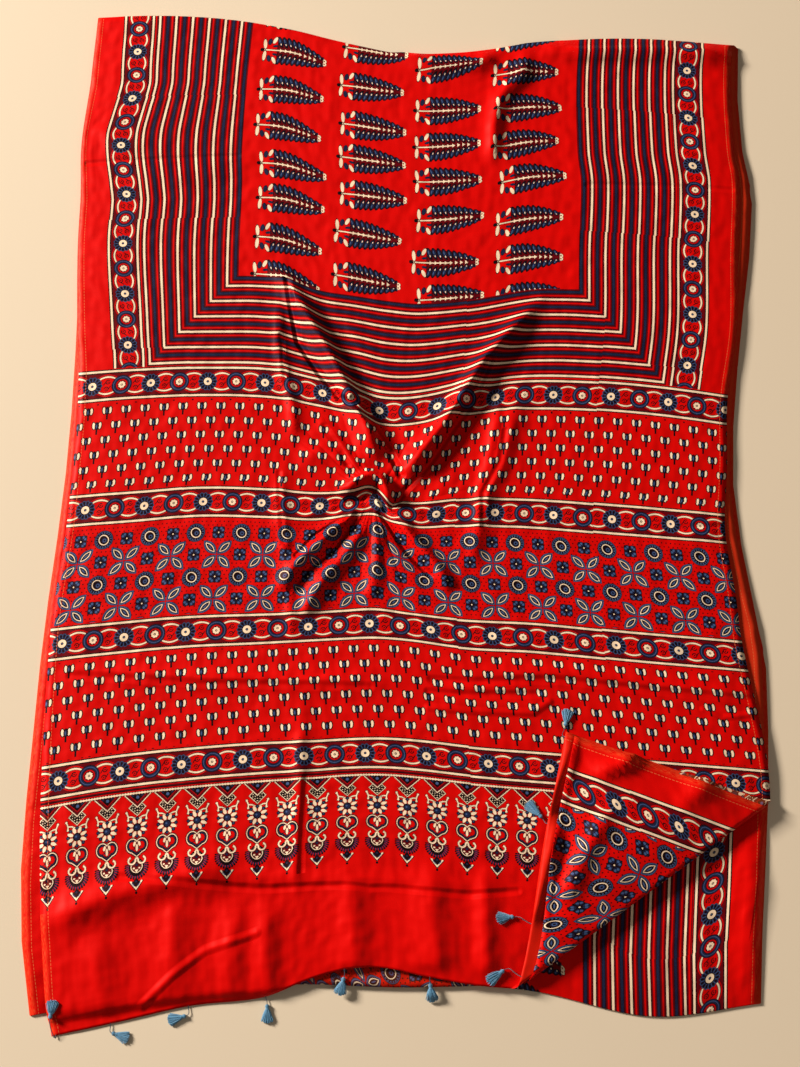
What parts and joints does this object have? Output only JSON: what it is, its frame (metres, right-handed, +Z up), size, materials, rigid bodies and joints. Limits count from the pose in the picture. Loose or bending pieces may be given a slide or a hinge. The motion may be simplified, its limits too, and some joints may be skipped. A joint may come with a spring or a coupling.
{
  "type": "folded ajrakh saree cloth",
  "caption": "Block-printed silk saree cloth with a tasselled end, folded in four layers and laid flat, its lower right corner turned up and over",
  "frame": {"origin": "middle of the outline, on the surface that the folded cloth lies on", "axes": "+X across the cloth from its left edge to its right, +Y from the tasselled hem to the top fold, +Z up out of the upper face"},
  "size_m": [1.156, 1.7128, 0.0326],
  "materials": {
    "cloth": "block-printed modal silk with a soft satin sheen",
    "tassel": "loose silky thread"
  },
  "bodies": {
    "root": {"cloth": "cloth", "tassel_1": "tassel", "tassel_2": "tassel", "tassel_3": "tassel", "tassel_4": "tassel", "tassel_5": "tassel", "tassel_6": "tassel", "tassel_7": "tassel", "tassel_8": "tassel", "tassel_9": "tassel", "tassel_10": "tassel"}
  },
  "joints": []
}
